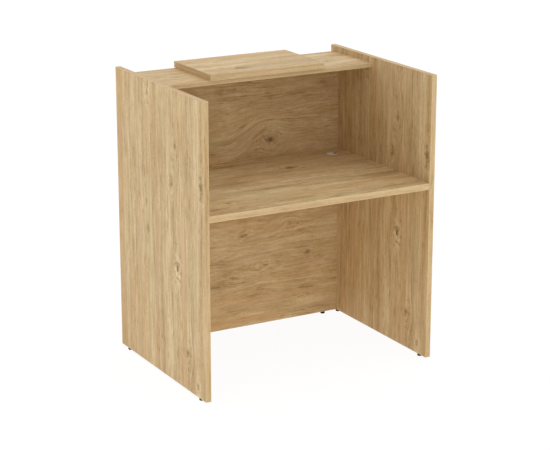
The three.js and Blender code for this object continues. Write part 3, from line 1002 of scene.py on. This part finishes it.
def plated_steel(name, tint, dullness):
    """Zinc-plated steel: grey metal with a faint cloudy tint and fine marks from handling."""
    made, shader, place = new_finish(name)
    cloud = noise(place, 180.0, 3.0)
    colour = lay_over(ease(cloud, 0.35, 0.7), tint, ink(196, 194, 184))
    marks = bump(noise(place, 1500.0, 2.0), 0.25, 0.00005)
    give(shader, Base_Color=colour, Roughness=cloud * 0.25 + dullness, Normal=marks, Metallic=1.0)
    return made


repeat_nodes, given, result = geometry_group(
    "same_fitting_at_every_place", {"Object": ["Fitting"], "Material": ["Metal"]}
)
fitting = wire(repeat_nodes, "GeometryNodeObjectInfo", "Geometry", Object=given["Fitting"])
turn_at = wire(repeat_nodes, "GeometryNodeInputNamedAttribute", data_type="FLOAT", Name="turn")
turning = wire(repeat_nodes, "ShaderNodeCombineXYZ", Z=turn_at)
set_out = put(repeat_nodes, "GeometryNodeInstanceOnPoints", Points=given["Geometry"], Instance=fitting)
hand_over(result, Wire(give(set_out, Rotation=turning).outputs[0]), given["Metal"])


def repeated(name, pattern_mesh, places, metal):
    """One piece that has the same fitting at each place, turned about the upright as the place says."""
    pattern = show(pattern_mesh, name + "_pattern")
    spots = bpy.data.meshes.new(name + "_places")
    spots.from_pydata([place for place, turn in places], [], [])
    turns = spots.attributes.new("turn", "FLOAT", "POINT")
    for mark, (place, turn) in zip(turns.data, places):
        mark.value = turn
    mesh = worked(name, spots, repeat_nodes, {"Fitting": pattern, "Metal": metal})
    bpy.data.objects.remove(pattern)
    bpy.data.meshes.remove(pattern_mesh)
    crease(mesh, fitting_crease)
    return show(mesh, name)


grooves = []
for ring in range(groove_count):
    height = groove_start + ring * thread_pitch
    grooves.append((socket_bore_radius, height))
    grooves.append((socket_bore_radius - groove_depth, height + thread_pitch / 2))
sleeve_profile = [
    (socket_bore_radius, -socket_flange),
    (socket_flange_radius - flange_chamfer, -socket_flange),
    (socket_flange_radius, -socket_flange + flange_chamfer),
    (socket_flange_radius, 0),
    (socket_radius, 0),
    (socket_radius, socket_length - sleeve_chamfer),
    (socket_radius - sleeve_chamfer, socket_length),
    (socket_bore_radius, socket_length),
]
sleeve_profile += grooves[::-1] + sleeve_profile[:1]
sleeve_mesh = turned_mesh("sleeve", sleeve_profile, sleeve_sides)
sleeve_places = [(socket_bore(label)[0], 0.0) for label in foot_labels]
sleeve_steel = plated_steel("sleeve_steel", ink(168, 172, 178), 0.25)
sleeves = repeated("foot_sleeves", sleeve_mesh, sleeve_places, sleeve_steel)
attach(sleeves, "desk")
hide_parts(*[f"foot_socket_{label}" for label in foot_labels])


# ---- Cam fittings
# Ten die-cast zinc cams, 15 mm across, let into the undersides of the worktop and the counter. Each
# has a crossed recess for the screwdriver and a mouth in its side that grips the bolt's head.
cam_cross_size = (0.009, 0.0018, 0.0025)
cross_taper = 0.72
cam_face_radius = 0.0066
cam_face_rounding = 0.0004
cam_face_steps = 2
cam_back_chamfer = 0.0003
cam_sides = 48
mouth_radius = 0.0035
mouth_from = Vector((-0.010, 0, 0))
mouth_length = 0.0117
mouth_sides = 24
cut_past = 0.001
weld = 0.000001


def combined(name, mesh, other, operation):
    """The mesh less the other body, or both in one; doubled corners and faces of no area are merged."""
    blank = show(mesh, name)
    tool = show(other, name + "_tool")
    joint = blank.modifiers.new("joint", "BOOLEAN")
    joint.operation = operation
    joint.solver = "EXACT"
    joint.object = tool
    made = flattened(blank, name)
    bpy.data.objects.remove(tool)
    bpy.data.meshes.remove(other)
    form = bmesh.new()
    form.from_mesh(made)
    bmesh.ops.remove_doubles(form, verts=form.verts, dist=weld)
    bmesh.ops.dissolve_degenerate(form, edges=form.edges, dist=weld)
    form.to_mesh(made)
    form.free()
    return made


def prism(name, outline, floor, top, narrowing=1.0):
    """A closed upright body over an outline that runs anticlockwise, narrowed at its top by a share."""
    form = bmesh.new()
    lower = [form.verts.new((x, y, floor)) for x, y in outline]
    upper = [form.verts.new((x * narrowing, y * narrowing, top)) for x, y in outline]
    form.faces.new(lower[::-1])
    form.faces.new(upper)
    for at, vertex in enumerate(lower):
        form.faces.new((lower[at - 1], vertex, upper[at], upper[at - 1]))
    return as_mesh(form, name)


def cross_recess(name, length, width, depth):
    """A crossed recess that opens downwards and narrows with its depth, with its mouth at height 0."""
    far, near = length / 2, width / 2
    arm = [(far, -near), (far, near), (near, near)]
    outline = arm + [(-y, x) for x, y in arm] + [(-x, -y) for x, y in arm] + [(y, -x) for x, y in arm]
    return prism(name, outline, -cut_past, depth, cross_taper)


def cam_mesh(name, height, bolt_height):
    """One cam, face down at height 0, whose mouth for the bolt's head opens towards -X."""
    rounding, chamfer = cam_face_rounding, cam_back_chamfer
    profile = [(0, 0), (cam_face_radius, 0)]
    profile += arc(cam_radius - rounding, rounding, rounding, -90, 0, cam_face_steps)
    profile += [(cam_radius, height - chamfer), (cam_radius - chamfer, height), (0, height)]
    cutters = bmesh.new()
    cross = cross_recess(name + "_cross", *cam_cross_size)
    cutters.from_mesh(cross)
    bpy.data.meshes.remove(cross)
    mouth = mouth_from + Vector((0, 0, bolt_height))
    add_pin(cutters, mouth, directions["right"], mouth_radius, mouth_length, mouth_sides)
    blank = turned_mesh(name + "_blank", profile, cam_sides)
    return combined(name, blank, as_mesh(cutters, name + "_tool"), "DIFFERENCE")


cam_metal = plated_steel("cam_zinc", ink(150, 150, 150), 0.38)
for shelf, labels in (("worktop", shelf_cams[:4] + back_cams), ("counter", shelf_cams[4:])):
    places = []
    for label in labels:
        low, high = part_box(f"cam_{label}")
        centre = (low + high) / 2
        bolt = middle_of(f"cam_bolt_{label}")
        facing = math.atan2(bolt.y - centre.y, bolt.x - centre.x) + math.pi
        places.append((Vector((centre.x, centre.y, low.z)), facing))
    low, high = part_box(f"cam_{labels[0]}")
    bolt_height = middle_of(f"cam_bolt_{labels[0]}").z - low.z
    pattern_mesh = cam_mesh(f"{shelf}_cam", high.z - low.z, bolt_height)
    cams = repeated(f"{shelf}_cams", pattern_mesh, places, cam_metal)
    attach(cams, "desk")
    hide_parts(*[f"cam_{label}" for label in labels])


# ---- Cam bolts, dowels and riser screws
# Hidden hardware. The steel bolts and the beech dowels keep the frame's own solids; the two
# countersunk screws show their heads under the counter, so they are made in full.
screw_length = 0.038
screw_root_radius = 0.0013
screw_pitch = 0.0022
screw_rim_chamfer = 0.0001
screw_rim_start = 0.0002
screw_rim_end = 0.0005
screw_cone_end = 0.0029
screw_neck_slimmer = 0.0002
screw_root_start = 0.0045
screw_tip_length = 0.004
screw_thread_start = 0.008
screw_thread_shorter = 0.0125
screw_thread_play = 0.00005
screw_cross_size = (0.0042, 0.0010, 0.0021)
screw_sides = 32
screw_turns = {"left": 0.6, "right": 1.1}


def beech():
    """Plain pale beech with short dark flecks along the dowel."""
    made, shader, place = new_finish("dowel_beech")
    flecks = ripples(place, 200.0, 2200.0, 5.0)
    streak = ripples(place, 40.0, 500.0, 9.0)
    colour = lay_over(streak, ink(206, 172, 128), ink(228, 200, 160))
    colour = lay_over(ease(flecks, 0.58, 0.70, 0.0, 0.6), colour, ink(156, 116, 78))
    give(shader, Base_Color=colour, Roughness=0.75)
    return made


bolt_steel = plated_steel("bolt_steel", ink(160, 164, 170), 0.22)
dowel_wood = beech()
hardware = [(f"cam_bolt_{label}", bolt_steel) for label in shelf_cams + back_cams]
for hand in ("left", "right"):
    hardware += [(f"dowel_{hand}_{level}", dowel_wood) for level in ("low", "high")]
for node, material in hardware:
    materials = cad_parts[node].data.materials
    materials.clear()
    materials.append(material)

screw_nodes, given, result = geometry_group("wood_screw", {"Float": thread_sizes, "Material": ["Metal"]})
hand_over(result, joined(threads(given), given["Geometry"]), given["Metal"])

screw_profile = [
    (0, 0),
    (screw_head_radius - screw_rim_chamfer, 0),
    (screw_head_radius, screw_rim_start),
    (screw_head_radius, screw_rim_end),
    (screw_shank_radius - screw_neck_slimmer, screw_cone_end),
    (screw_root_radius, screw_root_start),
    (screw_root_radius, screw_length - screw_tip_length),
    (0, screw_length),
]
screw_cross = cross_recess("screw_cross", *screw_cross_size)
screw_turned = turned_mesh("screw_turned", screw_profile, screw_sides)
screw_blank = combined("screw_blank", screw_turned, screw_cross, "DIFFERENCE")
screw_settings = {
    "Thread Root": screw_root_radius,
    "Thread Radius": screw_shank_radius - screw_thread_play,
    "Thread Pitch": screw_pitch,
    "Thread Start": screw_thread_start,
    "Thread Length": screw_length - screw_thread_shorter,
    "Metal": bolt_steel,
}
screw_mesh = worked("screw", screw_blank, screw_nodes, screw_settings)
screw_places = []
for hand, turn in screw_turns.items():
    head = middle_of(f"riser_screw_{hand}")
    head.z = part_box(f"riser_screw_{hand}")[0].z
    screw_places.append((head, turn))
screws = repeated("riser_screws", screw_mesh, screw_places, bolt_steel)
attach(screws, "desk")
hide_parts("riser_screw_left", "riser_screw_right")


# ---- Cable grommet
# A sand-coloured moulded liner, 60 mm across its flange, with a silver-grey lift-out cap. The cap has
# a slot for the cables and carries a small shutter underneath, turned by the button in its middle.
flange_radius = 0.030
flange_height = 0.0024
flange_rounding = 0.0016
flange_steps = 5
sleeve_outer = 0.0247
sleeve_inner = 0.0232
sleeve_length = 0.019
ledge_inner = 0.0212
ledge_top = -0.0001
ledge_depth = 0.0016
cap_radius = 0.0229
cap_under = 0.0002
skirt_outer = 0.0209
skirt_inner = 0.0196
skirt_length = 0.005
button_radius = 0.005
button_hole_radius = 0.0053
button_floor = 0.0011
button_cross_size = (0.0070, 0.0012, 0.0006)
button_sides = 50
shutter_stem_radius = 0.003
shutter_stem_hole = 0.0033
shutter_plate_radius = 0.0193
shutter_plate_top = -0.0001
shutter_plate_depth = 0.0012
shutter_span = (120, 240)
shutter_steps = 40
slot_radius = 0.007
slot_from_middle = 0.0135
slot_reach = 0.0295
slot_cut_height = 0.010
slot_steps = 24
lip = 0.0003
plate_step = 0.00005
grommet_sides = 96


def moulded_plastic(name, dark_tone, light_tone):
    """Moulded plastic: an even satin face with a fine spark-eroded texture."""
    made, shader, place = new_finish(name)
    grit = noise(place, 3000.0, 2.0)
    colour = lay_over(noise(place, 90.0, 2.0), dark_tone, light_tone)
    relief = bump(grit, 0.3, 0.00005)
    give(shader, Base_Color=colour, Roughness=grit * 0.20 + 0.22, Normal=relief)
    return made


ring_plastic = moulded_plastic("sand_plastic", ink(184, 158, 118), ink(194, 168, 128))
lid_plastic = moulded_plastic("silver_grey_plastic", ink(223, 219, 206), ink(233, 229, 216))
# The dark grey given to the faces down in the well is painted shade.
well_painted_shade = moulded_plastic("painted_shade_in_well", ink(44, 43, 41), ink(58, 57, 54))
grommet_place = middle_of("grommet_liner")
grommet_place.z = worktop_high.z


def add_grommet_piece(name, mesh, node, body, face_plastic):
    """One piece with its own plastic on top; the faces down in the well that the ring encloses get a
    dark grey plastic as painted shade.
    """
    mesh.materials.clear()
    for material in (face_plastic, well_painted_shade):
        mesh.materials.append(material)
    for face in mesh.polygons:
        enclosed = math.hypot(face.center.x, face.center.y) < sleeve_inner + lip
        face.material_index = 1 if enclosed and face.center.z < flange_height - 2 * lip else 0
    mesh.transform(Matrix.Translation(grommet_place))
    crease(mesh, fitting_crease)
    piece = show(mesh, name)
    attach(piece, body)
    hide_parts(node)


liner_profile = [
    (sleeve_inner, flange_height - lip),
    (sleeve_inner, ledge_top),
    (ledge_inner, ledge_top),
    (ledge_inner, ledge_top - ledge_depth),
    (sleeve_inner, ledge_top - ledge_depth),
    (sleeve_inner, -sleeve_length),
    (sleeve_outer, -sleeve_length),
    (sleeve_outer, 0),
    (flange_radius, 0),
]
rounding = flange_rounding
centre_height = flange_height - rounding
liner_profile += arc(flange_radius - rounding, centre_height, rounding, 0, 90, flange_steps)
liner_profile += [(sleeve_inner + lip, flange_height), liner_profile[0]]
ring_mesh = turned_mesh("grommet_ring", liner_profile, grommet_sides)
add_grommet_piece("grommet_ring", ring_mesh, "grommet_liner", "desk", ring_plastic)

cap_profile = [
    (shutter_stem_hole, cap_under),
    (skirt_inner, cap_under),
    (skirt_inner, cap_under - skirt_length),
    (skirt_outer, cap_under - skirt_length),
    (skirt_outer, cap_under),
    (cap_radius, cap_under),
    (cap_radius, flange_height - lip),
    (cap_radius - lip, flange_height),
    (button_hole_radius + lip, flange_height),
    (button_hole_radius, flange_height - lip),
    (button_hole_radius, button_floor),
    (shutter_stem_hole, button_floor),
    (shutter_stem_hole, cap_under),
]
slot_outline = arc(slot_from_middle, 0, slot_radius, 90, 270, slot_steps)
slot_outline += [(slot_reach, -slot_radius), (slot_reach, slot_radius)]
slot_cutter = prism("cable_slot", slot_outline, -slot_cut_height, slot_cut_height)
lid_blank = turned_mesh("lid_blank", cap_profile, grommet_sides)
cap_mesh = combined("grommet_lid", lid_blank, slot_cutter, "DIFFERENCE")
add_grommet_piece("grommet_lid", cap_mesh, "grommet_cap", "grommet_cap", lid_plastic)

hub_floor = shutter_plate_top - shutter_plate_depth
plate_outline = [(0, 0)] + arc(0, 0, shutter_plate_radius, *shutter_span, shutter_steps)
plate_mesh = prism("shutter_plate", plate_outline, hub_floor + plate_step, shutter_plate_top)
hub_top = shutter_plate_top - plate_step
stem_profile = [
    (0, hub_floor),
    (button_radius, hub_floor),
    (button_radius, hub_top),
    (shutter_stem_radius, hub_top),
    (shutter_stem_radius, button_floor + lip),
    (button_radius, button_floor + lip),
    (button_radius, flange_height - lip),
    (button_radius - lip, flange_height),
    (0, flange_height),
]
button_cross = cross_recess("button_notch", *button_cross_size)
button_cross.transform(Matrix.Rotation(math.pi, 4, "X"))
button_cross.transform(Matrix.Translation((0, 0, flange_height)))
button_blank = turned_mesh("button_blank", stem_profile, button_sides)
button_mesh = combined("shutter_button", button_blank, button_cross, "DIFFERENCE")
shutter_mesh = combined("grommet_shutter_plate", button_mesh, plate_mesh, "UNION")
shutter = "grommet_shutter"
add_grommet_piece("grommet_shutter_plate", shutter_mesh, shutter, shutter, lid_plastic)


# ---- Floor, backdrop and light
# A plain white floor that gives light back, under an evenly lit white room a little stronger
# overhead, with no lamp that shines straight at the desk. The floor that is looked at is just white
# where it is open, with a faint shadow under the desk.
dome_even = 0.305
dome_from_above = 0.665
dome_from_clerk = 0.230
dome_from_visitor = 0.345
dome_from_right = 0.440
floor_white = 0.8
floor_glow = 0.500
floor_white_seen = 0.104
floor_glow_seen = 0.93
floor_reach = 30.0

def looked_at(tree):
    """1 for a ray from the camera, off a shine or through something clear, and 0 for any other."""
    ray = put(tree, "ShaderNodeLightPath").outputs
    kinds = ("Camera", "Glossy", "Transmission")
    camera, glossy, clear = [Wire(ray[f"Is {kind} Ray"]) for kind in kinds]
    return calc("MAXIMUM", camera, calc("MAXIMUM", glossy, clear))


floor_mesh = bpy.data.meshes.new("studio_floor")
corners = [(x * floor_reach, y * floor_reach, 0) for x, y in ((-1, -1), (1, -1), (1, 1), (-1, 1))]
floor_mesh.from_pydata(corners, [], [(0, 1, 2, 3)])
floor = show(floor_mesh, "studio_floor")
floor_paint = bpy.data.materials.new("studio_floor")
floor_paint.use_nodes = True
tree = floor_paint.node_tree
tree.nodes.clear()
seen = looked_at(tree)
tone = lay_over(seen, (*[floor_white] * 3, 1), (*[floor_white_seen] * 3, 1))
strength = seen * (floor_glow_seen - floor_glow) + floor_glow
both = put(tree, "ShaderNodeAddShader")
feed(both.inputs[0], wire(tree, "ShaderNodeBsdfDiffuse", Color=tone))
feed(both.inputs[1], wire(tree, "ShaderNodeEmission", Strength=strength))
put(tree, "ShaderNodeOutputMaterial", Surface=Wire(both.outputs[0]))
floor_mesh.materials.append(floor_paint)

room = bpy.data.worlds.new("studio")
bpy.context.scene.world = room
room.use_nodes = True
tree = room.node_tree
tree.nodes.clear()
right, visitor, above = split(wire(tree, "ShaderNodeTexCoord", "Generated"))
strength = calc("MAXIMUM", above, 0.0) * dome_from_above + dome_even
strength = calc("MAXIMUM", visitor, 0.0) * dome_from_visitor + strength
strength = calc("MINIMUM", visitor, 0.0) * -dome_from_clerk + strength
strength = calc("MAXIMUM", right, 0.0) * dome_from_right + strength
shown = strength + looked_at(tree) * (1.0 - strength)
dome = wire(tree, "ShaderNodeBackground", Color=(1, 1, 1, 1), Strength=shown)
put(tree, "ShaderNodeOutputWorld", Surface=dome)
